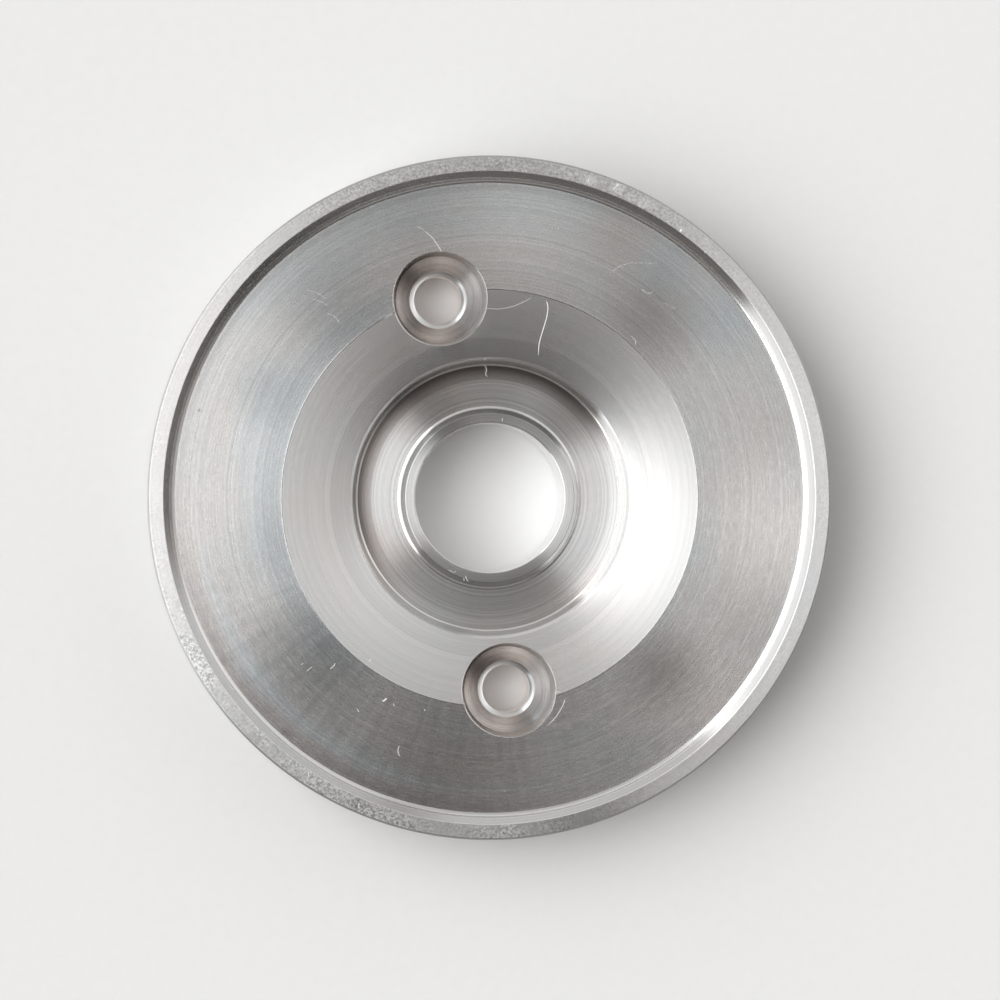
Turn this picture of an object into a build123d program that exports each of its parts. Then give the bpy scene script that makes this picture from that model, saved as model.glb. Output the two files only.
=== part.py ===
from build123d import *
import math
import os

# Turned aluminium mounting flange, in millimetres with +Z up.
# The origin is the middle of the flat back face. The bore runs along +Z, and
# the dished front face looks up. The two screw holes lie on a line along Y.

# ---- driving dimensions: the blank ------------------------------------------
outer_diameter = 64.0
thickness = 8.5                 # back face to rim land
rim_edge_chamfer = 0.25         # outer edge of the rim land
back_edge_chamfer = 0.4         # outer edge of the back face

# ---- driving dimensions: rim and recess -------------------------------------
rim_width = 1.5                 # outer wall to the inner edge of the rim land
rim_inner_break = 0.06          # broken inner edge of the rim land
upper_wall_run = 0.5            # the recess wall narrows by this, per side
upper_wall_drop = 0.5
wall_step_width = 0.07          # fine ledge left between the two wall cuts
recess_corner_radius = 0.42     # tool-nose radius between wall and floor
recess_depth = 1.0              # rim land to recess floor

# ---- driving dimensions: dished middle --------------------------------------
shallow_cone_diameter = 39.1    # where the flat floor turns into the first cone
shallow_cone_drop = 0.26
steep_cone_diameter = 30.0      # where the second, steeper cone starts
steep_cone_drop = 0.2
groove_lip_diameter = 26.4      # where the second cone ends
groove_lip_chamfer = 0.28
groove_outer_diameter = 25.2    # outer corner of the groove floor
groove_corner_radius = 0.2
groove_depth = 1.1              # lip to groove floor

# ---- driving dimensions: boss and bore --------------------------------------
boss_diameter = 16.7
boss_height = 0.85              # above the groove floor
boss_chamfer = 0.42
boss_foot_radius = 0.28         # fillet between the boss and the groove floor
bore_diameter = 14.0
bore_front_break = 0.08
bore_back_break = 0.3

# ---- driving dimensions: countersunk screw holes ----------------------------
# The pair is not centred on the bore: its middle is set off by these amounts.
screw_pair_offset_x = -1.41
screw_pair_offset_y = 0.56
screw_spacing = 37.25
screw_hole_diameter = 4.5
# From the floor down: a tapered counterbore, the head's cone, a narrow land.
counterbore_diameter = 8.8      # at the recess floor
counterbore_taper = 0.35        # the counterbore narrows by this, per side
counterbore_depth = 2.2         # recess floor to the start of the cone
seat_angle = 90.0               # included angle of the screw head's cone, degrees
land_diameter = 5.4             # where the cone ends
land_drop = 0.08                # fall of the land from the cone to the hole
screw_hole_back_break = 0.2

# ---- driving dimensions: damage on the rim's outer edge ---------------------
nick_width = 0.6
nick_depth = 0.26
nick_height = 0.7
nick_azimuth = -100.0           # degrees from +X

CUTTER_MARGIN = 1.0             # how far a cutting solid runs past a face

# ---- derived levels and radii -----------------------------------------------
outer_radius = outer_diameter / 2
rim_inner_radius = outer_radius - rim_width
floor_level = thickness - recess_depth
steep_cone_level = floor_level - shallow_cone_drop
groove_lip_level = steep_cone_level - steep_cone_drop
groove_level = groove_lip_level - groove_depth
boss_level = groove_level + boss_height
bore_radius = bore_diameter / 2
boss_radius = boss_diameter / 2


def turned_section():
    """Half section of the flange on the XZ plane, from the bore outwards."""
    wall_foot_radius = rim_inner_radius - upper_wall_run
    ledge_inner_radius = wall_foot_radius - wall_step_width
    corner_top_level = floor_level + recess_corner_radius
    wall_foot_level = thickness - upper_wall_drop
    lip_radius = groove_lip_diameter / 2
    lip_inner_radius = lip_radius - groove_lip_chamfer
    lip_inner_level = groove_lip_level - groove_lip_chamfer
    groove_outer_radius = groove_outer_diameter / 2
    wall_base_level = groove_level + groove_corner_radius
    corner_end_radius = groove_outer_radius - groove_corner_radius
    with BuildSketch(Plane.XZ) as section:
        with BuildLine():
            back_and_rim = Polyline(
                (bore_radius, bore_back_break),
                (bore_radius + bore_back_break, 0),
                (outer_radius - back_edge_chamfer, 0),
                (outer_radius, back_edge_chamfer),
                (outer_radius, thickness - rim_edge_chamfer),
                (outer_radius - rim_edge_chamfer, thickness),
                (rim_inner_radius + rim_inner_break, thickness),
                (rim_inner_radius, thickness - rim_inner_break),
                (wall_foot_radius, wall_foot_level),
                (ledge_inner_radius, wall_foot_level),
                (ledge_inner_radius, corner_top_level),
            )
            recess_corner = RadiusArc(
                back_and_rim @ 1,
                (ledge_inner_radius - recess_corner_radius, floor_level),
                recess_corner_radius,
            )
            dish = Polyline(
                recess_corner @ 1,
                (shallow_cone_diameter / 2, floor_level),
                (steep_cone_diameter / 2, steep_cone_level),
                (lip_radius, groove_lip_level),
                (lip_inner_radius, lip_inner_level),
                (groove_outer_radius, wall_base_level),
            )
            groove_corner = RadiusArc(
                dish @ 1,
                (corner_end_radius, groove_level),
                groove_corner_radius,
            )
            groove_floor = Line(groove_corner @ 1, (boss_radius + boss_foot_radius, groove_level))
            boss_foot = RadiusArc(
                groove_floor @ 1,
                (boss_radius, groove_level + boss_foot_radius),
                boss_foot_radius,
            )
            boss_and_bore = Polyline(
                boss_foot @ 1,
                (boss_radius, boss_level - boss_chamfer),
                (boss_radius - boss_chamfer, boss_level),
                (bore_radius + bore_front_break, boss_level),
                (bore_radius, boss_level - bore_front_break),
                back_and_rim @ 0,
            )
        make_face()
    return section.sketch


def turned_blank():
    """The section turned about the bore's axis."""
    return revolve(turned_section(), axis=Axis.Z)


def screw_places():
    """Centres of the two screw holes."""
    half_spacing = screw_spacing / 2
    return [
        (screw_pair_offset_x, screw_pair_offset_y + side * half_spacing)
        for side in (1, -1)
    ]


def screw_cutter():
    """What one countersunk hole takes away, with its axis on Z."""
    mouth_radius = counterbore_diameter / 2
    seat_radius = mouth_radius - counterbore_taper
    land_radius = land_diameter / 2
    hole_radius = screw_hole_diameter / 2
    cone_top_level = floor_level - counterbore_depth
    cone_height = (seat_radius - land_radius) / math.tan(math.radians(seat_angle / 2))
    cone_foot_level = cone_top_level - cone_height
    land_foot_level = cone_foot_level - land_drop
    break_radius = hole_radius + screw_hole_back_break + CUTTER_MARGIN
    with BuildSketch(Plane.XZ) as section:
        with BuildLine():
            Polyline(
                (0, -CUTTER_MARGIN),
                (break_radius, -CUTTER_MARGIN),
                (hole_radius, screw_hole_back_break),
                (hole_radius, land_foot_level),
                (land_radius, cone_foot_level),
                (seat_radius, cone_top_level),
                (mouth_radius, floor_level),
                (mouth_radius, thickness + CUTTER_MARGIN),
                (0, thickness + CUTTER_MARGIN),
                close=True,
            )
        make_face()
    return revolve(section.sketch, axis=Axis.Z)


def nick_cutter():
    """A V-shaped chip out of the rim's outer edge."""
    mouth_radius = outer_radius + CUTTER_MARGIN
    spread = nick_width / 2 * (nick_depth + CUTTER_MARGIN) / nick_depth
    with BuildSketch(Plane.XY.offset(thickness - nick_height)) as section:
        with BuildLine():
            Polyline(
                (outer_radius - nick_depth, 0),
                (mouth_radius, -spread),
                (mouth_radius, spread),
                close=True,
            )
        make_face()
    wedge = extrude(section.sketch, amount=nick_height + CUTTER_MARGIN)
    return Rot(0, 0, nick_azimuth) * wedge


def turned_flange():
    """The whole flange: turned blank, two countersunk holes, one nick."""
    flange = turned_blank()
    for x, y in screw_places():
        flange -= Pos(x, y, 0) * screw_cutter()
    flange -= nick_cutter()
    return flange


os.makedirs("parts", exist_ok=True)
flange = turned_flange()
flange.label = "turned_flange"
export_step(flange, "parts/turned_flange.step")
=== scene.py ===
"""A turned aluminium flange lying face up on pale paper, under one large soft light."""
import math

import bmesh
import bpy
from mathutils import Matrix, Vector


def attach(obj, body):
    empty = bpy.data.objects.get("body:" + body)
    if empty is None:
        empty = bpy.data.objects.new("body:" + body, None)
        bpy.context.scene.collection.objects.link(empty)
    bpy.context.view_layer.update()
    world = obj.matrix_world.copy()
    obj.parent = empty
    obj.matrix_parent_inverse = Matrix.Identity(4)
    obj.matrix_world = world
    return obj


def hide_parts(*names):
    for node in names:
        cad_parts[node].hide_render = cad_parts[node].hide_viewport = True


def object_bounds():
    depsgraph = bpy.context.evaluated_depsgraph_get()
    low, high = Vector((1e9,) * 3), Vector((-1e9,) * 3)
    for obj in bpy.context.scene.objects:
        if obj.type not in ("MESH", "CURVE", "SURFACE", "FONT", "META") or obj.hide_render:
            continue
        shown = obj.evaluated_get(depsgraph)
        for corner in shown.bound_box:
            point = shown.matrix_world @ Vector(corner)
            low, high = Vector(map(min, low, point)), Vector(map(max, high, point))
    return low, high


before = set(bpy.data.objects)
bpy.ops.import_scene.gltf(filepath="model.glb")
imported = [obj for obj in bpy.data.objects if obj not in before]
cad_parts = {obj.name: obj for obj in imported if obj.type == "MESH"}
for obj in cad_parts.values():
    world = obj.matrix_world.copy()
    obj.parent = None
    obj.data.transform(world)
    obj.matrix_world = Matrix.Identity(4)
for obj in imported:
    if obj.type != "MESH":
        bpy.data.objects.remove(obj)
cad_low, cad_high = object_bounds()

MM = 0.001                             # a millimetre, in metres

# ---- sizes of the turned profile, in millimetres ------------------------------
OUTER_R = cad_high[0] / MM
PROUD = 0.012                          # how far fine burrs stand above the rim land
TOP = cad_high[2] / MM - PROUD         # rim land
RIM_CHAMFER = 0.17
BACK_CHAMFER = 0.4
RIM_INNER_R = OUTER_R - 1.5
RIM_BREAK = 0.06
WALL_RUN = 0.5
WALL_DROP = 0.5
LEDGE = 0.07
CORNER_R = 0.42
FLOOR = TOP - 1.0                      # recess floor
CONE_1_R = 19.55
BURR = 0.035                           # half width of the fine edge between floor and cone
BURR_RISE = 0.3 * BURR
CONE_2_R = 15.0
CONE_2_LEVEL = FLOOR - 0.26
LIP_R = 13.2
LIP_LEVEL = CONE_2_LEVEL - 0.2
LIP_CHAMFER = 0.28
GROOVE_R = 12.6
GROOVE_CORNER = 0.2
GROOVE = LIP_LEVEL - 1.1               # groove floor
GROOVE_DISH_R = 10.7                   # from here out the floor curves up a little
GROOVE_DISH_RISE = 0.09
BOSS_R = 8.35
BOSS = GROOVE + 0.85                   # boss top
BOSS_CHAMFER = 0.42
BOSS_FOOT = 0.28                       # fillet at the foot of the boss
BORE_R = 7.0
BORE_FRONT_BREAK = 0.08
BORE_BACK_BREAK = 0.3

# ---- screw holes, in millimetres -----------------------------------------------
SCREW_X = -1.41
SCREW_Y = 0.56
SCREW_SPACING = 37.25
MOUTH_R = 4.4
MOUTH_BREAK = 0.07                     # width of the broken edge round the mouth
MOUTH_BREAK_DROP = 0.9 * MOUTH_BREAK   # how far it reaches below the face
MOUTH_BREAK_RISE = 0.3 * MOUTH_BREAK   # and above it, where it cuts nothing
SEAT_R = 4.05
SEAT_DEPTH = 2.2                       # floor to the start of the cone
LAND_R = 2.7
LAND_INNER_R = 2.47
LAND_DROP = 0.05                       # fall of the land towards the hole
STEP_DROP = 0.2                        # from the land's outer edge to the foot of a fine step
HOLE_R = 2.25
HOLE_BACK_BREAK = 0.2

# ---- nick in the rim's outer edge ----------------------------------------------
NICK_WIDTH = 0.6
NICK_DEPTH = 0.26
NICK_HEIGHT = 0.7
NICK_AZIMUTH = math.radians(-100)

# ---- where the photograph's axes lie in the frame -------------------------------
PHOTO_TURN = math.radians(-9.98)       # azimuth of the picture's right-hand side
RIGHT = Vector((math.cos(PHOTO_TURN), math.sin(PHOTO_TURN), 0))
UP = Vector((-math.sin(PHOTO_TURN), math.cos(PHOTO_TURN), 0))


def picture(right_mm, up_mm, height_mm):
    """A point given along the picture's axes from the bore's, as one of the frame in metres."""
    return (RIGHT * right_mm + UP * up_mm + Vector((0, 0, height_mm))) * MM


# ---- the turned body -------------------------------------------------------------
SEGMENTS = 480                         # faces round the body
HOLE_SEGMENTS = 180                    # and round a screw hole
FINE = 0.012                           # half width of a broken edge
FINE_SHARE = 0.25                      # at most this share of the face beside it
SUPPORT = 0.03                         # further in, a loop that keeps the rounding narrow
SUPPORT_SHARE = 0.45                   # at most this share of the face from its edge
SHARP_TURN = 4                         # degrees: a corner that turns less isn't broken
DISH_STEPS = 8                         # along the curve of the groove's floor
CUTTER_MARGIN = 1.0                    # how far a cutting body runs past a face
MOUTH_LIFT = 5.0                       # a screw cutter's mouth starts this far above the floor

FINISHES = ["floor", "cone", "steep_cone", "wall", "upper_wall", "rim", "outside", "back",
            "groove", "boss", "edge", "bore"]
HOLE_FINISHES = ["mouth", "seat", "land", "step", "drill"]


def surface_level(x, y):
    """Level of the front face over a point outside the groove, in millimetres."""
    r = math.hypot(x, y)
    if r >= CONE_1_R:
        return FLOOR
    if r >= CONE_2_R:
        return FLOOR + (CONE_2_LEVEL - FLOOR) * (CONE_1_R - r) / (CONE_1_R - CONE_2_R)
    return CONE_2_LEVEL + (LIP_LEVEL - CONE_2_LEVEL) * (CONE_2_R - r) / (CONE_2_R - LIP_R)


def rounded(centre, radius, start, steps):
    """Corners of a wall's quarter round, clockwise from start in degrees, without its end."""
    bearings = [math.radians(start - 90 * k / steps) for k in range(steps)]
    return [
        (centre[0] + radius * math.cos(a), centre[1] + radius * math.sin(a), "wall")
        for a in bearings
    ]


def profile():
    """Corners (radius, level, finish of the surface that follows) of the half section."""
    wall_foot_r = RIM_INNER_R - WALL_RUN
    ledge_r = wall_foot_r - LEDGE
    corner_end_r = ledge_r - CORNER_R
    recess_corner = rounded((corner_end_r, FLOOR + CORNER_R), CORNER_R, 0, 5)
    dish_end_r = GROOVE_R - GROOVE_CORNER
    dish_end_level = GROOVE + GROOVE_DISH_RISE
    groove_corner = rounded((dish_end_r, dish_end_level + GROOVE_CORNER), GROOVE_CORNER, 0, 4)
    dish_run = dish_end_r - GROOVE_DISH_R
    groove_dish = [
        (GROOVE_DISH_R + dish_run * t, GROOVE + GROOVE_DISH_RISE * t * t, "groove")
        for t in (1 - k / DISH_STEPS for k in range(DISH_STEPS + 1))
    ]
    boss_foot = rounded((BOSS_R + BOSS_FOOT, GROOVE + BOSS_FOOT), BOSS_FOOT, -90, 4)
    return [
        (BORE_R, BORE_BACK_BREAK, "bore"),
        (BORE_R + BORE_BACK_BREAK, 0, "back"),
        (OUTER_R - BACK_CHAMFER, 0, "outside"),
        (OUTER_R, BACK_CHAMFER, "outside"),
        (OUTER_R, TOP - RIM_CHAMFER, "outside"),
        (OUTER_R - RIM_CHAMFER, TOP, "rim"),
        (RIM_INNER_R + RIM_BREAK, TOP, "wall"),
        (RIM_INNER_R, TOP - RIM_BREAK, "upper_wall"),
        (wall_foot_r, TOP - WALL_DROP, "wall"),
        *recess_corner,
        (corner_end_r, FLOOR, "floor"),
        (CONE_1_R + BURR, FLOOR, "edge"),
        (CONE_1_R, FLOOR + BURR_RISE, "edge"),
        (CONE_1_R - BURR, surface_level(CONE_1_R - BURR, 0), "cone"),
        (CONE_2_R, CONE_2_LEVEL, "steep_cone"),
        (LIP_R, LIP_LEVEL, "wall"),
        (LIP_R - LIP_CHAMFER, LIP_LEVEL - LIP_CHAMFER, "wall"),
        *groove_corner,
        *groove_dish,
        *boss_foot,
        (BOSS_R, GROOVE + BOSS_FOOT, "edge"),
        (BOSS_R, BOSS - BOSS_CHAMFER, "edge"),
        (BOSS_R - BOSS_CHAMFER, BOSS, "boss"),
        (BORE_R + BORE_FRONT_BREAK, BOSS, "bore"),
        (BORE_R, BOSS - BORE_FRONT_BREAK, "bore"),
    ]


def softened(corners):
    """The closed profile with each corner split in two and a loop beside each half."""
    loop = []
    count = len(corners)
    for i, (r, z, finish) in enumerate(corners):
        here = Vector((r, z))
        before = Vector(corners[i - 1][:2]) - here
        after = Vector(corners[(i + 1) % count][:2]) - here
        old_finish = corners[i - 1][2]
        if math.degrees(before.angle(-after)) < SHARP_TURN:
            loop.append((here, finish))
            continue
        for step, name in ((before, old_finish), (after, finish)):
            reach = step.length
            fine = min(FINE, FINE_SHARE * reach)
            near = min(FINE + SUPPORT, SUPPORT_SHARE * reach)
            unit = step / reach
            pair = [(here + unit * near, name), (here + unit * fine, name)]
            if step is after:
                pair.reverse()
            loop.extend(pair)
    return loop


def linked(mesh, name):
    """Turns a bmesh into an object of the scene, with its faces pointing outwards."""
    bmesh.ops.recalc_face_normals(mesh, faces=mesh.faces)
    data = bpy.data.meshes.new(name)
    mesh.to_mesh(data)
    mesh.free()
    piece = bpy.data.objects.new(name, data)
    bpy.context.scene.collection.objects.link(piece)
    return piece


def lathe(name, loop, centre, segments, finishes, closed):
    """Turns a list of ((radius, level), finish) about a vertical axis."""
    mesh = bmesh.new()
    bearings = [2 * math.pi * k / segments for k in range(segments)]
    rings = []
    for (r, z), _ in loop:
        spots = [(centre[0] + r * math.cos(a), centre[1] + r * math.sin(a)) for a in bearings]
        if r == 0:
            spots = [centre]
        rings.append([mesh.verts.new(Vector((*spot, z)) * MM) for spot in spots])
    pairs = list(zip(range(len(rings) - 1), range(1, len(rings))))
    if closed:
        pairs.append((len(rings) - 1, 0))
    for i, j in pairs:
        a, b = rings[i], rings[j]
        for k in range(segments):
            n = (k + 1) % segments
            corners = [a[k % len(a)], a[n % len(a)], b[n % len(b)], b[k % len(b)]]
            face = mesh.faces.new(list(dict.fromkeys(corners)))
            face.material_index = finishes.index(loop[i][1])
    return linked(mesh, name)


def screw_cutter(name, centre):
    """What a screw hole takes away. Its mouth follows the face that it cuts."""
    land_level = FLOOR - SEAT_DEPTH - (SEAT_R - LAND_R)
    mouth = FLOOR + MOUTH_LIFT
    corners = [
        (0, -CUTTER_MARGIN, "drill"),
        (HOLE_R + HOLE_BACK_BREAK + CUTTER_MARGIN, -CUTTER_MARGIN, "drill"),
        (HOLE_R, HOLE_BACK_BREAK, "drill"),
        (HOLE_R, land_level - STEP_DROP, "step"),
        (LAND_INNER_R, land_level - LAND_DROP, "land"),
        (LAND_R, land_level, "seat"),
        (SEAT_R, FLOOR - SEAT_DEPTH, "seat"),
        (MOUTH_R - MOUTH_BREAK / 2, mouth - MOUTH_BREAK_DROP, "mouth"),
        (MOUTH_R + MOUTH_BREAK / 2, mouth + MOUTH_BREAK_RISE, "mouth"),
        (MOUTH_R + MOUTH_BREAK / 2, mouth + CUTTER_MARGIN, "mouth"),
        (0, mouth + CUTTER_MARGIN, "mouth"),
    ]
    loop = [(Vector(corner[:2]), corner[2]) for corner in corners]
    cutter = lathe(name, loop, centre, HOLE_SEGMENTS, HOLE_FINISHES, closed=False)
    for vertex in cutter.data.vertices:
        if vertex.co.z > (FLOOR + MOUTH_LIFT / 2) * MM:
            x, y = vertex.co.x / MM, vertex.co.y / MM
            vertex.co.z += (surface_level(x, y) - mouth) * MM
    return cutter


def nick_cutter():
    """The V-shaped chip in the rim's outer edge."""
    mouth_r = OUTER_R + CUTTER_MARGIN
    spread = NICK_WIDTH / 2 * (NICK_DEPTH + CUTTER_MARGIN) / NICK_DEPTH
    cos, sin = math.cos(NICK_AZIMUTH), math.sin(NICK_AZIMUTH)
    wedge = [(OUTER_R - NICK_DEPTH, 0), (mouth_r, -spread), (mouth_r, spread)]
    plan = [(x * cos - y * sin, x * sin + y * cos) for x, y in wedge]
    mesh = bmesh.new()
    foot, head = [
        [mesh.verts.new(Vector((x, y, level)) * MM) for x, y in plan]
        for level in (TOP - NICK_HEIGHT, TOP + CUTTER_MARGIN)
    ]
    mesh.faces.new(foot)
    mesh.faces.new(head)
    for k in range(3):
        n = (k + 1) % 3
        mesh.faces.new([foot[k], foot[n], head[n], head[k]])
    return linked(mesh, "nick")


# ---- materials -------------------------------------------------------------------


class Nodes:
    """Short calls for the nodes of one material, or of the world."""

    def __init__(self, tree):
        self.tree = tree

    def feed(self, socket, value):
        """Links a socket to another node's output, or sets its own value."""
        if isinstance(value, bpy.types.NodeSocket):
            self.tree.links.new(value, socket)
        else:
            socket.default_value = value

    def add(self, kind, inputs=None, **settings):
        node = self.tree.nodes.new(kind)
        for key, value in settings.items():
            setattr(node, key, value)
        for key, value in (inputs or {}).items():
            self.feed(node.inputs[key], value)
        return node

    def math(self, operation, a, b=0.0, c=0.0):
        return self.add("ShaderNodeMath", {0: a, 1: b, 2: c}, operation=operation).outputs[0]

    def vector(self, operation, a, b=(0, 0, 0)):
        node = self.add("ShaderNodeVectorMath", {0: a, 1: b}, operation=operation)
        return node.outputs[1] if operation in ("LENGTH", "DOT_PRODUCT") else node.outputs[0]

    def remap(self, value, low, high, to_low, to_high, kind="SMOOTHSTEP"):
        """Maps a range to another, and holds the value at both ends."""
        inputs = {0: value, 1: low, 2: high, 3: to_low, 4: to_high}
        return self.add("ShaderNodeMapRange", inputs, interpolation_type=kind).outputs[0]

    def swing(self, value, low, high, middle, reach):
        """Maps a range evenly to so much below and above a middle."""
        return self.remap(value, low, high, middle - reach, middle + reach, "LINEAR")

    def noise(self, vector, scale, detail=2.0, rough=0.5):
        inputs = {"Vector": vector, "Scale": scale, "Detail": detail, "Roughness": rough}
        return self.add("ShaderNodeTexNoise", inputs).outputs[0]

    def line_noise(self, value, scale, detail, rough):
        inputs = {"W": value, "Scale": scale, "Detail": detail, "Roughness": rough}
        return self.add("ShaderNodeTexNoise", inputs, noise_dimensions="1D").outputs[0]

    def mix(self, factor, a, b):
        node = self.add("ShaderNodeMix", {0: factor}, data_type="RGBA")
        self.feed(node.inputs[6], a)
        self.feed(node.inputs[7], b)
        return node.outputs[2]

    def facing(self, direction, middle, half, soft):
        """1 where a level direction lies within half of the bearing middle, else 0.

        Bearings are in degrees from the picture's right, and soft is what each end fades over.
        """
        a = math.radians(middle)
        way = RIGHT * math.cos(a) + UP * math.sin(a)
        off = self.math("ARCCOSINE", self.vector("DOT_PRODUCT", direction, tuple(way)))
        return self.remap(off, math.radians(half - soft), math.radians(half + soft), 1, 0)


PLAIN = (0.97, 0.965, 0.955, 1)        # the metal's own colour
COOL = (0.90, 0.955, 0.985, 1)
WARM = (0.99, 0.93, 0.905, 1)
BROWN = (0.96, 0.81, 0.74, 1)          # warm brown: tint of painted shade in the holes and the groove, of painted bounce light on the drill, and of the groove's stains and clouds
SCRAPED_DARK = (0.80, 0.80, 0.78, 1)
SCRAPED_PALE = (0.98, 0.98, 0.96, 1)

# Soft stains and patches of painted shade, as right and up along the picture, size in
# millimetres, how much lighter or darker the metal is in the middle of each, and how much
# warmer (above 0) or cooler it is.
FLOOR_STAINS = [
    (3, 26, 11, 0.42, 0.0), (28, -3, 11, 0.40, 0.0), (22, -21, 11, 0.16, 0.9),
    (15, 16.5, 7, -0.34, 0.8), (22, 17, 6, -0.05, -0.9), (-15, 17, 9, -0.30, -0.5),
    (-20.5, 10, 5.5, -0.22, -0.8), (-27, -2, 7, 0.03, 0.45), (-19.5, -4, 6, -0.10, -0.7),
    (-16, -15, 9, -0.36, -0.2), (-5, -25, 13, -0.30, 0.4), (16, -16, 6, -0.36, 0.5),
    (12.3, 24.3, 4.5, -0.05, 0.9), (16.5, 21.7, 4.5, -0.07, -0.9), (-23, -17, 5, 0.05, -0.7),
    (-27.2, 8.15, 0.25, -0.4, 0.6),
]
GROOVE_STAINS = [(-6.5, 8.5, 5.0, -0.32, 0.3), (8, 7.5, 5, -0.25, 0.3)]
RIM_STAINS = [
    (9.3, 29.7, 0.9, 0.35, 0.0), (11.9, 29.1, 1.0, 0.35, 0.0), (14.3, 27.6, 0.8, 0.25, 0.0),
    (-12.5, -28.6, 1.3, -0.2, 0.0), (-22, -22.4, 1.2, -0.15, 0.0), (9, -29.9, 9, -0.38, 0.0),
]

# Painted shade in a screw hole, on the side away from the light, tinted brown, as above.
PAINTED_SEAT_SHADE = [(-3.0, 2.4, 6.6, -0.93, 1.0), (-2.6, -2.3, 3.4, -0.65, 0.6)]

# The same along part of a ring: its radius and half width in millimetres, the bearing of its
# middle and half its length in degrees from the picture's right, then the two changes.
FLOOR_BANDS = [
    (29.4, 1.5, 235, 45, -0.16, 0.8), (27.3, 1.2, 228, 35, 0.12, -0.8),
    (20.6, 2.2, 165, 55, -0.10, -0.6), (29.2, 0.8, 110, 60, -0.14, 0.0),
]
# On the groove's floor the first band is painted shade, tinted brown, along the outer wall on the
# upper left, which blocks the light from the left.
GROOVE_SHADE_AND_BANDS = [(13.0, 2.6, 125, 88, -0.86, 0.9), (12.9, 1.1, 270, 60, -0.2, 0.5)]

# Where chatter and scuffs lie round the rings: the bearing of their middle and half their
# length, in degrees as above.
CHATTERED = (245, 45)
SCUFFED = (240, 42)
HALF_SCUFFED = (88, 34)
SECTOR_SOFT = 22                       # degrees over which each end of a sector fades

HEIGHT_SHARE = 1.37                    # how much of the height counts in a ring's reach
RELIEF = 2.0e-6                        # depth of the tool lines, in metres
ACROSS_THE_RINGS = 0.25                # a quarter turn: highlights are drawn out across them


class Rings(Nodes):
    """The nodes of one turned face, with coordinates in millimetres about its axis.

    reach is the radius plus a share of the height, so that walls have rings as well.
    """

    def __init__(self, tree, centre):
        super().__init__(tree)
        place = self.add("ShaderNodeTexCoord").outputs["Object"]
        self.mm = self.vector("MULTIPLY", place, (1 / MM, 1 / MM, 1 / MM))
        from_axis = self.vector("SUBTRACT", self.mm, (*centre, 0))
        height = self.add("ShaderNodeSeparateXYZ", {0: from_axis}).outputs[2]
        self.arm = self.vector("MULTIPLY", from_axis, (1, 1, 0))
        self.tangent = self.vector("CROSS_PRODUCT", (0, 0, 1), self.arm)
        self.bearing = self.vector("NORMALIZE", self.arm)
        self.radius = self.vector("LENGTH", self.arm)
        self.reach = self.math("ADD", self.radius, self.math("MULTIPLY", height, HEIGHT_SHARE))

    def polar(self, across, along):
        """Place for a noise, in steps of so many a millimetre across and a radian along."""
        turned = self.vector("MULTIPLY", self.bearing, (along, along, 0))
        out = self.math("MULTIPLY", self.reach, across)
        step = self.add("ShaderNodeCombineXYZ", {2: out}).outputs[0]
        return self.vector("ADD", turned, step)

    def sector(self, middle, half):
        """1 within a part of the rings, else 0."""
        return self.facing(self.bearing, middle, half, SECTOR_SOFT)

    def spot(self, right, up, size):
        """1 in the middle of a round patch, falling to 0 at its edge. Used for stains and for
        painted shade.
        """
        middle = picture(right, up, 0) / MM
        gap = self.vector("LENGTH", self.vector("SUBTRACT", self.arm, tuple(middle)))
        return self.remap(gap, 0, size, 1, 0)

    def band(self, ring, half_width, middle, half):
        """1 along the middle of a band on part of a ring, falling to 0 round it."""
        gap = self.math("ABSOLUTE", self.math("SUBTRACT", self.radius, ring))
        across = self.remap(gap, 0, half_width, 1, 0)
        return self.math("MULTIPLY", across, self.sector(middle, half))

    def clouds(self, amount, warm):
        """The metal's own colour, with soft warm and cool clouds drawn out along the rings."""
        cloud = self.noise(self.polar(0.16, 1.5), 1.0)
        tint = self.mix(self.remap(cloud, 0.50, 0.68, 0, amount), PLAIN, warm)
        return self.mix(self.remap(cloud, 0.50, 0.34, 0, amount), tint, COOL)

    def crumbs(self):
        """Small lighter and darker spots, about 0: a few everywhere, most where it is scuffed."""
        grain = self.math("SUBTRACT", self.noise(self.mm, 4.2, 2.0, 0.7), 0.5)
        rubbed = self.remap(self.noise(self.polar(0.3, 7.0), 1.0), 0.38, 0.56, 0.3, 1)
        less = self.math("MULTIPLY", self.sector(*HALF_SCUFFED), 0.5)
        worn = self.math("MAXIMUM", self.sector(*SCUFFED), less)
        rubbed = self.math("MULTIPLY", rubbed, self.math("MULTIPLY_ADD", worn, 0.85, 0.15))
        return self.math("MULTIPLY", grain, rubbed)


def new_material(name):
    """A new material and its shader."""
    material = bpy.data.materials.new(name)
    material.use_nodes = True
    return material, material.node_tree.nodes["Principled BSDF"]


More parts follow.
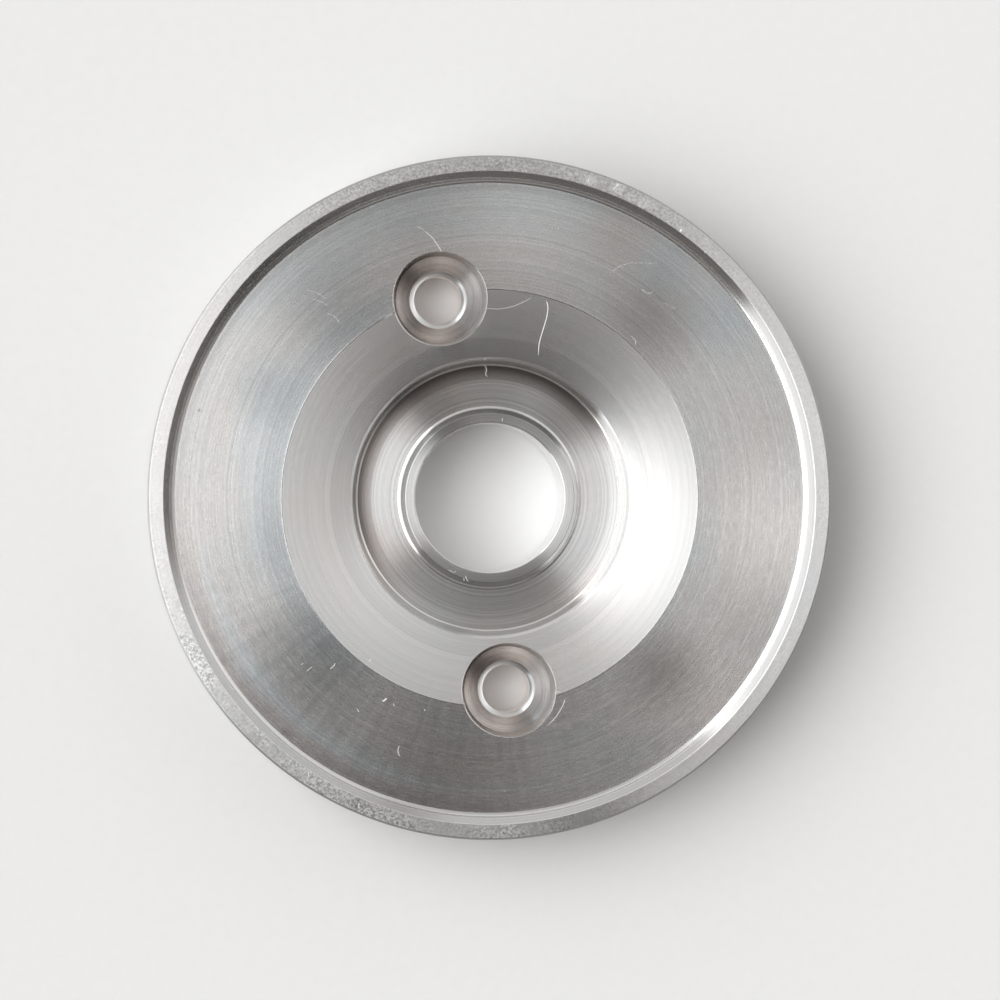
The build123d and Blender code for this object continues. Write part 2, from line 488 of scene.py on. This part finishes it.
def turned_metal(name, centre, tone, roughness, groove, grain, anisotropy=0.75, chatter=0.0,
                 scuff=0.0, stains_and_shade=(), bands_and_shade=(), warm=WARM, clouds=0.3):
    """Bare aluminium cut in a lathe: rings about an axis, chatter, grain, stains, painted shade and
    scuffs.

    tone is how pale it is, groove the strength of the tool lines, grain that of the torn
    dashes and pits, and clouds that of the faint colours.
    """
    material, shader = new_material(name)
    n = Rings(material.node_tree, centre)

    # rings left by the tool, as fine lines of even pitch with broader bands among them
    fine = n.line_noise(n.reach, 4.2, 1.0, 0.6)
    wide = n.line_noise(n.reach, 1.3, 1.0, 0.5)
    # short torn lines along the rings, and fine pits
    dashes = n.noise(n.polar(6.0, 26.0), 1.0, 1.0, 0.6)
    pits = n.noise(n.mm, 5.5, 1.0, 0.7)

    lines = n.math("MULTIPLY_ADD", wide, 0.6, fine)
    shade = n.swing(lines, 0.5, 1.1, 1, 0.10 * groove)
    shade = n.math("MULTIPLY", shade, n.swing(dashes, 0.25, 0.75, 1, 0.05 * grain))
    shade = n.math("MULTIPLY", shade, n.swing(pits, 0.25, 0.75, 1, 0.04 * grain))
    if chatter:
        spokes = n.swing(n.noise(n.polar(0.12, 34.0), 1.0, 1.0), 0.3, 0.7, 0, chatter)
        spokes = n.math("MULTIPLY_ADD", spokes, n.sector(*CHATTERED), 1.0)
        shade = n.math("MULTIPLY", shade, spokes)

    tint = n.clouds(clouds, warm)
    # stains and patches of painted shade, round ones and ones along a ring, each lighten or darken
    # the metal and tint it
    masks = [(n.spot(*place), change, warmth) for *place, change, warmth in stains_and_shade]
    masks += [(n.band(*place), change, warmth) for *place, change, warmth in bands_and_shade]
    for near, change, warmth in masks:
        shade = n.math("MULTIPLY", shade, n.math("MULTIPLY_ADD", near, change, 1.0))
        if warmth:
            hue = warm if warmth > 0 else COOL
            tint = n.mix(n.math("MULTIPLY", near, abs(warmth)), tint, hue)

    rough = n.swing(dashes, 0.25, 0.75, roughness, 0.025 * grain)
    if scuff:
        crumbs = n.crumbs()
        shade = n.math("MULTIPLY", shade, n.math("MULTIPLY_ADD", crumbs, scuff, 1.0))
        rough = n.math("MULTIPLY_ADD", n.math("ABSOLUTE", crumbs), 0.5, rough)
    colour = n.add("ShaderNodeVectorMath", {0: tint, "Scale": n.math("MULTIPLY", shade, tone)},
                   operation="SCALE")

    furrows = n.math("MULTIPLY_ADD", wide, 1.5, fine)
    relief = n.math("ADD", n.math("MULTIPLY", furrows, groove),
                    n.math("MULTIPLY", dashes, 0.4 * grain))
    bump = n.add("ShaderNodeBump", {"Strength": 1.0, "Distance": RELIEF, "Height": relief})

    n.feed(shader.inputs["Base Color"], colour.outputs[0])
    n.feed(shader.inputs["Roughness"], rough)
    n.feed(shader.inputs["Normal"], bump.outputs[0])
    n.feed(shader.inputs["Tangent"], n.tangent)
    n.feed(shader.inputs["Metallic"], 1.0)
    n.feed(shader.inputs["Anisotropic"], anisotropy)
    n.feed(shader.inputs["Anisotropic Rotation"], ACROSS_THE_RINGS)
    return material


def scraped_metal():
    """Freshly scraped aluminium: no rings, rougher and paler than the turned faces."""
    material, shader = new_material("scraped")
    n = Nodes(material.node_tree)
    place = n.add("ShaderNodeTexCoord").outputs["Object"]
    tone = n.mix(n.noise(place, 6000.0, 1.0), SCRAPED_DARK, SCRAPED_PALE)
    n.feed(shader.inputs["Base Color"], tone)
    n.feed(shader.inputs["Metallic"], 0.85)
    n.feed(shader.inputs["Roughness"], 0.5)
    return material


# What turned_metal is given for each finish.
FINISH_LOOKS = {
    "floor": dict(tone=0.66, roughness=0.265, anisotropy=0.70, groove=0.8, grain=0.8,
                  chatter=0.07, stains_and_shade=FLOOR_STAINS, bands_and_shade=FLOOR_BANDS, clouds=0.6),
    "cone": dict(tone=0.93, roughness=0.225, anisotropy=0.66, groove=0.35, grain=0.3, clouds=0.2),
    "steep_cone": dict(tone=0.84, roughness=0.225, anisotropy=0.66, groove=0.35, grain=0.3,
                       clouds=0.2),
    "wall": dict(tone=0.88, roughness=0.2, groove=0.6, grain=0.3),
    "upper_wall": dict(tone=0.66, roughness=0.2, groove=0.6, grain=0.3),
    "rim": dict(tone=0.78, roughness=0.35, anisotropy=0.65, groove=0.4, grain=0.7, scuff=3.2,
                stains_and_shade=RIM_STAINS),
    "outside": dict(tone=0.46, roughness=0.36, groove=1.0, grain=0.6),
    "back": dict(tone=0.75, roughness=0.25, groove=1.0, grain=0.8),
    "groove": dict(tone=0.70, roughness=0.24, anisotropy=0.95, groove=1.1, grain=0.4,
                   stains_and_shade=GROOVE_STAINS, bands_and_shade=GROOVE_SHADE_AND_BANDS, warm=BROWN),
    "boss": dict(tone=0.66, roughness=0.24, anisotropy=0.95, groove=0.7, grain=0.1,
                 stains_and_shade=[(-4.8, 6.2, 4.5, -0.4, 0.0)]),
    "edge": dict(tone=0.42, roughness=0.2, groove=0.6, grain=0.3),
    "bore": dict(tone=0.95, roughness=0.2, groove=0.8, grain=0.3),
    # mouth and seat: painted shade on the side of each screw hole away from the light, tinted brown
    "mouth": dict(tone=0.85, roughness=0.22, groove=1.2, grain=0.5, stains_and_shade=PAINTED_SEAT_SHADE, warm=BROWN),
    "seat": dict(tone=0.98, roughness=0.22, groove=1.3, grain=0.4, stains_and_shade=PAINTED_SEAT_SHADE, warm=BROWN),
    # land and step: painted shade, darker on the side of each hole towards the picture's right
    "land": dict(tone=0.95, roughness=0.3, anisotropy=0.86, groove=0.6, grain=0.3,
                 stains_and_shade=[(2.8, 0.6, 4.2, -0.68, 0.0)]),
    "step": dict(tone=0.85, roughness=0.4, anisotropy=0.6, groove=0.6, grain=0.3,
                 stains_and_shade=[(2.4, 0.3, 4.4, -0.80, 0.0)]),
    # drill: tinted warm all over, painted warm light bounced down the hole onto the paper
    "drill": dict(tone=1.0, roughness=0.3, groove=0.8, grain=0.3, stains_and_shade=[(0, 0, 20, 0.0, 0.4)],
                  warm=BROWN),
}


# ---- the flange ------------------------------------------------------------------
SMOOTH_UP_TO = math.radians(25)        # edges that turn more are kept sharp


def dress(piece, finishes, tag, centre):
    """Gives a turned piece one material for each finish, in the order of its faces."""
    for finish in finishes:
        metal = turned_metal(f"{tag}_{finish}", centre, **FINISH_LOOKS[finish])
        piece.data.materials.append(metal)


def cut(piece, cutter):
    """Takes cutter away from piece, and keeps the cutter's materials on the new faces."""
    modifier = piece.modifiers.new("cut", "BOOLEAN")
    modifier.operation = "DIFFERENCE"
    modifier.solver = "EXACT"
    modifier.material_mode = "TRANSFER"
    modifier.object = cutter
    bpy.context.view_layer.update()
    graph = bpy.context.evaluated_depsgraph_get()
    made = bpy.data.meshes.new_from_object(piece.evaluated_get(graph))
    piece.modifiers.clear()
    piece.data = made
    bpy.data.objects.remove(cutter)


def turned_flange():
    """The whole flange: the turned body, two countersunk holes and the nick."""
    body = lathe("flange", softened(profile()), (0, 0), SEGMENTS, FINISHES, closed=True)
    dress(body, FINISHES, "turned", (0, 0))
    for side, tag in ((1, "upper_hole"), (-1, "lower_hole")):
        centre = (SCREW_X, SCREW_Y + side * SCREW_SPACING / 2)
        cutter = screw_cutter(tag, centre)
        dress(cutter, HOLE_FINISHES, tag, centre)
        cut(body, cutter)
    nick = nick_cutter()
    nick.data.materials.append(bpy.data.materials["turned_outside"])
    cut(body, nick)
    body.data.shade_smooth()
    body.data.set_sharp_from_angle(angle=SMOOTH_UP_TO)
    return body


flange = turned_flange()
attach(flange, "root")
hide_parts("turned_flange")


# ---- fine damage: thin ridges, a few hundredths of a millimetre high ---------------
SCRATCH_HEIGHT = 0.03
CURL_HEIGHT = 0.02
MOUTH_EDGE_HEIGHT = 0.02
TICK_LEVEL = TOP - 0.3 * PROUD
TICK_HEIGHT = 1.3 * PROUD              # so that the crest reaches the top of the CAD's box

# A ridge's cross section: how far across in half widths, and up in heights.
RIDGE_SECTION = ((-1, -0.5), (-0.6, 0.55), (0, 1), (0.6, 0.55), (1, -0.5), (0, -0.8))
RIDGE_TIP = 0.25                       # a ridge's size at its ends, as a share of its middle
RIDGE_TAPER = 6                        # and how fast it grows from there, per whole length
PATH_STEPS = 6                         # from one point of a ridge to the next

# Scratches and curled burrs: width, then points right and up of the bore's axis along the
# picture, in millimetres.
SCRATCHES = [
    (0.075, [(-6.10, 24.9), (-5.45, 24.35), (-4.95, 23.65), (-4.55, 22.95)]),
    (0.06, [(-6.90, 25.35), (-6.45, 25.2), (-6.10, 24.9)]),
    (0.095, [(5.25, 18.45), (5.42, 17.9), (5.30, 16.9), (4.95, 15.7), (4.62, 14.5), (4.55, 13.35)]),
    (0.06, [(-0.4, 17.75), (0.9, 17.7), (2.3, 18.0), (3.9, 18.75)]),
    (0.075, [(7.05, -18.85), (6.75, -19.6), (6.2, -20.5), (5.35, -21.4)]),
    (0.06, [(-17.2, 19.4), (-16.3, 19.15), (-15.4, 18.6)]),
    (0.06, [(-16.6, 18.5), (-15.9, 18.35), (-15.2, 17.9)]),
    (0.05, [(-15.3, 17.2), (-14.6, 16.95), (-14.1, 16.3)]),
    (0.075, [(-8.55, -23.2), (-8.66, -23.7), (-8.5, -24.2)]),
    (0.10, [(-15.0, -16.0), (-14.7, -15.75), (-14.5, -15.45)]),
    (0.08, [(-17.2, -16.2), (-16.95, -16.0), (-16.7, -15.8)]),
    (0.07, [(-17.7, -15.6), (-17.5, -15.45)]),
    (0.20, [(-10.1, -19.05), (-9.9, -18.95), (-9.7, -18.75)]),
    (0.09, [(-12.5, -19.75), (-12.3, -20.05)]),
    (0.06, [(-9.1, -19.2), (-9.0, -19.55)]),
    (0.09, [(-6.2, -19.8), (-6.1, -19.95)]),
    (0.05, [(11.24, 21.1), (12.64, 21.9), (13.77, 22.04), (15.8, 22.0)]),
    (0.07, [(14.3, 19.6), (14.6, 19.3), (15.0, 19.2), (15.3, 19.35)]),
    (0.05, [(16.4, 18.3), (16.9, 17.95), (17.5, 17.7)]),
    (0.09, [(6.35, 25.25), (6.5, 25.3)]),
    (0.06, [(-0.45, 12.35), (-0.3, 12.0), (-0.4, 11.6), (-0.2, 11.35)]),
    (0.06, [(1.3, -27.4), (1.4, -27.55)]),
    (0.06, [(-9.1, 17.25), (-9.5, 17.05), (-9.9, 16.8)]),
    (0.08, [(6.0, -18.35), (6.35, -18.2), (6.65, -18.3)]),
    (0.05, [(-11.4, -15.3), (-11.1, -15.0)]),
    (0.05, [(13.2, 15.2), (13.6, 14.8), (13.7, 14.3)]),
]
# The same on the groove's floor and on the boss, with their level.
GROOVE_CURLS = [
    (0.055, GROOVE, [(-4.35, -11.75), (-4.2, -11.45), (-3.85, -11.25)]),
    (0.06, BOSS, [(-2.25, -7.35), (-2.2, -7.65), (-2.0, -7.85)]),
    (0.05, BOSS, [(-2.45, -7.5), (-2.42, -7.8)]),
    (0.045, BOSS, [(-3.9, -6.75), (-3.4, -7.0), (-3.2, -6.85)]),
    (0.05, BOSS, [(1.15, 7.2), (1.2, 7.45)]),
]
# The same on the rim, where only their crests stand out of the face.
RIM_TICKS = [
    (0.26, [(17.78, 24.88), (17.95, 25.2)]),
    (0.16, [(20.05, 22.98), (20.25, 23.15)]),
    (0.16, [(22.02, 21.18), (22.2, 21.35)]),
    (0.09, [(-17.1, -25.5), (-17.0, -26.1)]),
    (0.08, [(-12.4, -28.5), (-12.3, -29.1)]),
    (0.08, [(9.1, 29.5), (9.2, 30.0)]),
    (0.12, [(11.5, 28.9), (12.0, 29.4)]),
    (0.07, [(-13.6, -27.7), (-13.3, -28.1)]),
    (0.08, [(2.6, -31.0), (3.1, -31.2)]),
]
# The bright edge that the countersink left round each screw hole, in four stretches: where
# each starts and stops, in degrees from the picture's right, and its width.
MOUTH_EDGES = [(142, 194, 0.035), (196, 262, 0.05), (258, 318, 0.04), (322, 402, 0.065)]
MOUTH_EDGE_R = MOUTH_R + 0.03
MOUTH_EDGE_STEPS = 10                  # points in each stretch, less one


def smooth_path(points):
    """A curve through the points, as a Catmull-Rom spline."""
    spots = [Vector(point) for point in points]
    path = []
    for i, (a, b) in enumerate(zip(spots, spots[1:])):
        before = spots[max(i - 1, 0)]
        after = spots[min(i + 2, len(spots) - 1)]
        for k in range(PATH_STEPS):
            t = k / PATH_STEPS
            path.append(0.5 * (2 * a + (b - before) * t
                               + (2 * before - 5 * a + 4 * b - after) * t * t
                               + (3 * a - before - 3 * b + after) * t ** 3))
    path.append(spots[-1])
    return path


def ridge(name, points, width, height, level=None):
    """A thin ridge through points (right, up) on the front face, tapering at both ends."""
    path = smooth_path(points)
    last = len(path) - 1
    mesh = bmesh.new()
    rings = []
    for i, here in enumerate(path):
        along = path[min(i + 1, last)] - path[max(i - 1, 0)]
        side = Vector((-along.y, along.x)).normalized()
        swell = min(1.0, RIDGE_TAPER * min(i / last, 1 - i / last) + RIDGE_TIP)
        foot = picture(here.x, here.y, 0) / MM
        base = surface_level(foot.x, foot.y) if level is None else level
        ring = []
        for across, rise in RIDGE_SECTION:
            spot = here + side * (across * width / 2 * swell)
            ring.append(mesh.verts.new(picture(spot.x, spot.y, base + rise * height * swell)))
        rings.append(ring)
    for a, b in zip(rings, rings[1:]):
        for k in range(len(RIDGE_SECTION)):
            n = (k + 1) % len(RIDGE_SECTION)
            mesh.faces.new([a[k], a[n], b[n], b[k]])
    mesh.faces.new(rings[0])
    mesh.faces.new(rings[-1])
    piece = linked(mesh, name)
    piece.data.shade_smooth()
    return piece


def mouth_edges():
    """Width and points of each stretch of bright edge, round both screw holes."""
    arcs = []
    for side in (1, -1):
        middle = Vector((SCREW_X, SCREW_Y + side * SCREW_SPACING / 2, 0))
        right, up = middle.dot(RIGHT), middle.dot(UP)
        for start, stop, width in MOUTH_EDGES:
            bearings = [
                math.radians(start + (stop - start) * k / MOUTH_EDGE_STEPS)
                for k in range(MOUTH_EDGE_STEPS + 1)
            ]
            points = [
                (right + MOUTH_EDGE_R * math.cos(a), up + MOUTH_EDGE_R * math.sin(a))
                for a in bearings
            ]
            arcs.append((width, points))
    return arcs


def fine_damage():
    """Every scratch, curled burr, hole's edge and tick on the rim, as a ridge of its own."""
    marks = []
    for i, (width, points) in enumerate(SCRATCHES):
        marks.append(ridge(f"scratch_{i:02d}", points, width, SCRATCH_HEIGHT))
    for i, (width, level, points) in enumerate(GROOVE_CURLS):
        marks.append(ridge(f"curl_{i}", points, width, CURL_HEIGHT, level))
    for i, (width, points) in enumerate(mouth_edges()):
        marks.append(ridge(f"mouth_{i}", points, width, MOUTH_EDGE_HEIGHT))
    for i, (width, points) in enumerate(RIM_TICKS):
        marks.append(ridge(f"tick_{i}", points, width, TICK_HEIGHT, TICK_LEVEL))
    return marks


def join(main, others, metal):
    """Makes other meshes part of one piece, in a metal of their own."""
    mesh = bmesh.new()
    mesh.from_mesh(main.data)
    slot = len(main.data.materials)
    main.data.materials.append(metal)
    for other in others:
        start = len(mesh.faces)
        mesh.from_mesh(other.data)
        mesh.faces.ensure_lookup_table()
        for face in mesh.faces[start:]:
            face.material_index = slot
        bpy.data.objects.remove(other)
    mesh.to_mesh(main.data)
    mesh.free()


join(flange, fine_damage(), scraped_metal())


# ---- paper -----------------------------------------------------------------------
PAPER_HALF = 3.0                       # metres from the bore's axis to each side
PAPER_DARK = (0.81, 0.81, 0.805, 1)
PAPER_PALE = (0.85, 0.85, 0.845, 1)


def paper():
    """The pale sheet that the flange lies on."""
    sides = ((-1, -1), (1, -1), (1, 1), (-1, 1))
    corners = [(x * PAPER_HALF, y * PAPER_HALF, 0) for x, y in sides]
    data = bpy.data.meshes.new("paper")
    data.from_pydata(corners, [], [(0, 1, 2, 3)])
    sheet = bpy.data.objects.new("paper", data)
    bpy.context.scene.collection.objects.link(sheet)
    material, shader = new_material("paper")
    n = Nodes(material.node_tree)
    place = n.add("ShaderNodeTexCoord").outputs["Object"]
    fibre = n.noise(place, 900.0, 4.0, 0.6)
    n.feed(shader.inputs["Base Color"], n.mix(fibre, PAPER_DARK, PAPER_PALE))
    n.feed(shader.inputs["Roughness"], 0.85)
    n.feed(shader.inputs["Specular IOR Level"], 0.2)
    data.materials.append(material)
    return sheet


sheet = paper()


# ---- light -----------------------------------------------------------------------
# Heights in the sky are the sine of the elevation: 1 straight overhead, 0 at the table.

# Each pale thing round the table: bearing of its middle, half its width and the softness of
# its sides, in degrees counted from the picture's right-hand side. For a card also how bright
# it is (level), the shares of that which are left overhead and at the table's level (low), and
# how far out from overhead it reaches the whole of it (full), as a tangent.
APEX = (0.019, 0.031)                  # where their sides meet overhead: right and up, per height
KEY = dict(middle=175, half=44.5, soft=2)
CARDS = {
    "above_right": dict(middle=42, half=30, soft=12, level=0.66, overhead=0.72, low=1.0, full=0.3),
    "above": dict(middle=106, half=31, soft=8, level=0.52, overhead=0.45, low=1.5, full=0.3),
    "right": dict(middle=0, half=28, soft=20, level=0.42, overhead=0.95, low=0.15, full=0.3),
    "below": dict(middle=262, half=46, soft=16, level=0.30, overhead=0.0, low=0.15, full=1.6),
}
ROOM = 0.04                            # brightness of the dim room itself
KEY_OVERHEAD = 1.93                    # the key light's brightness straight overhead
KEY_MIDDLE = 3.4                       # and half-way down
KEY_LOW = 0.97                         # and near the table
KEY_LOWER_FADE = (0.28, 0.6)           # heights where it goes from the low to the middle one
KEY_UPPER_FADE = (0.884, 0.959)        # and from the middle one to that overhead
CARD_START = 0.03                      # tangent out from overhead where a card starts to brighten
CARD_FADE = (0.12, 0.5)                # heights where a card goes from its low share to full
LOWEST = 0.02                          # keeps the reach finite at the table's level
DIM = (1.0, 0.92, 0.86, 1)             # colour of what is dark
DIM_TO_BRIGHT = (0.1, 0.8)             # brightness over which that turns white
BACKDROP = (0.93, 0.93, 0.925, 1)      # what the camera sees past the paper


def studio():
    """A dim room with one large soft light on the picture's left and pale cards round it."""
    world = bpy.data.worlds.new("studio")
    bpy.context.scene.world = world
    world.use_nodes = True
    world.node_tree.nodes.clear()
    n = Nodes(world.node_tree)
    ray = n.add("ShaderNodeTexCoord").outputs["Generated"]
    height = n.add("ShaderNodeSeparateXYZ", {0: ray}).outputs[2]
    apex = RIGHT * APEX[0] + UP * APEX[1]
    rise = n.add("ShaderNodeCombineXYZ", {0: height, 1: height, 2: height}).outputs[0]
    arm = n.vector("SUBTRACT", n.vector("MULTIPLY", ray, (1, 1, 0)),
                   n.vector("MULTIPLY", rise, tuple(apex)))
    bearing = n.vector("NORMALIZE", arm)
    reach = n.math("DIVIDE", n.vector("LENGTH", arm), n.math("MAXIMUM", height, LOWEST))

    upper = n.remap(height, *KEY_UPPER_FADE, KEY_MIDDLE, KEY_OVERHEAD)
    above = n.remap(height, *KEY_LOWER_FADE, 0, 1)
    strength = n.math("ADD", n.math("MULTIPLY", upper, above),
                      n.math("MULTIPLY", n.math("SUBTRACT", 1, above), KEY_LOW))
    level = n.math("MULTIPLY_ADD", n.facing(bearing, **KEY), strength, ROOM)
    for card in CARDS.values():
        mask = n.facing(bearing, card["middle"], card["half"], card["soft"])
        outwards = n.remap(reach, CARD_START, card["full"], card["overhead"], 1)
        upwards = n.remap(height, *CARD_FADE, card["low"], 1)
        mask = n.math("MULTIPLY", n.math("MULTIPLY", mask, outwards), upwards)
        level = n.math("MULTIPLY_ADD", mask, card["level"], level)

    colour = n.mix(n.remap(level, *DIM_TO_BRIGHT, 0, 1), DIM, (1, 1, 1, 1))
    lit = n.add("ShaderNodeBackground", {"Color": colour, "Strength": level})
    seen = n.add("ShaderNodeBackground", {"Color": BACKDROP, "Strength": 1.0})
    camera_ray = n.add("ShaderNodeLightPath").outputs["Is Camera Ray"]
    both = n.add("ShaderNodeMixShader", {0: camera_ray, 1: lit.outputs[0], 2: seen.outputs[0]})
    n.add("ShaderNodeOutputWorld", {0: both.outputs[0]})


studio()


# ---- camera, in millimetres --------------------------------------------------------
CAMERA_RIGHT = -28.0                   # from the bore's axis, along the picture
CAMERA_UP = 0.0
CAMERA_HEIGHT = 408.5                  # above the paper
AIM = (0.83, -0.21)                    # right and up of the bore's axis, level with the rim
LENS = 154.5                           # focal length
SENSOR = 36.0
NEAREST, FURTHEST = 0.01, 20           # what the camera sees, in metres


def camera():
    """The photograph's view: nearly straight down, a little from the left."""
    data = bpy.data.cameras.new("camera")
    data.lens = LENS
    data.sensor_width = SENSOR
    data.clip_start = NEAREST
    data.clip_end = FURTHEST
    eye = bpy.data.objects.new("camera", data)
    bpy.context.scene.collection.objects.link(eye)
    place = picture(CAMERA_RIGHT, CAMERA_UP, CAMERA_HEIGHT)
    back = (place - picture(*AIM, TOP)).normalized()
    across = UP.cross(back).normalized()
    upright = back.cross(across)
    eye.matrix_world = Matrix((
        (across.x, upright.x, back.x, place.x),
        (across.y, upright.y, back.y, place.y),
        (across.z, upright.z, back.z, place.z),
        (0, 0, 0, 1),
    ))
    bpy.context.scene.camera = eye


camera()
bpy.context.scene.view_settings.view_transform = "Standard"
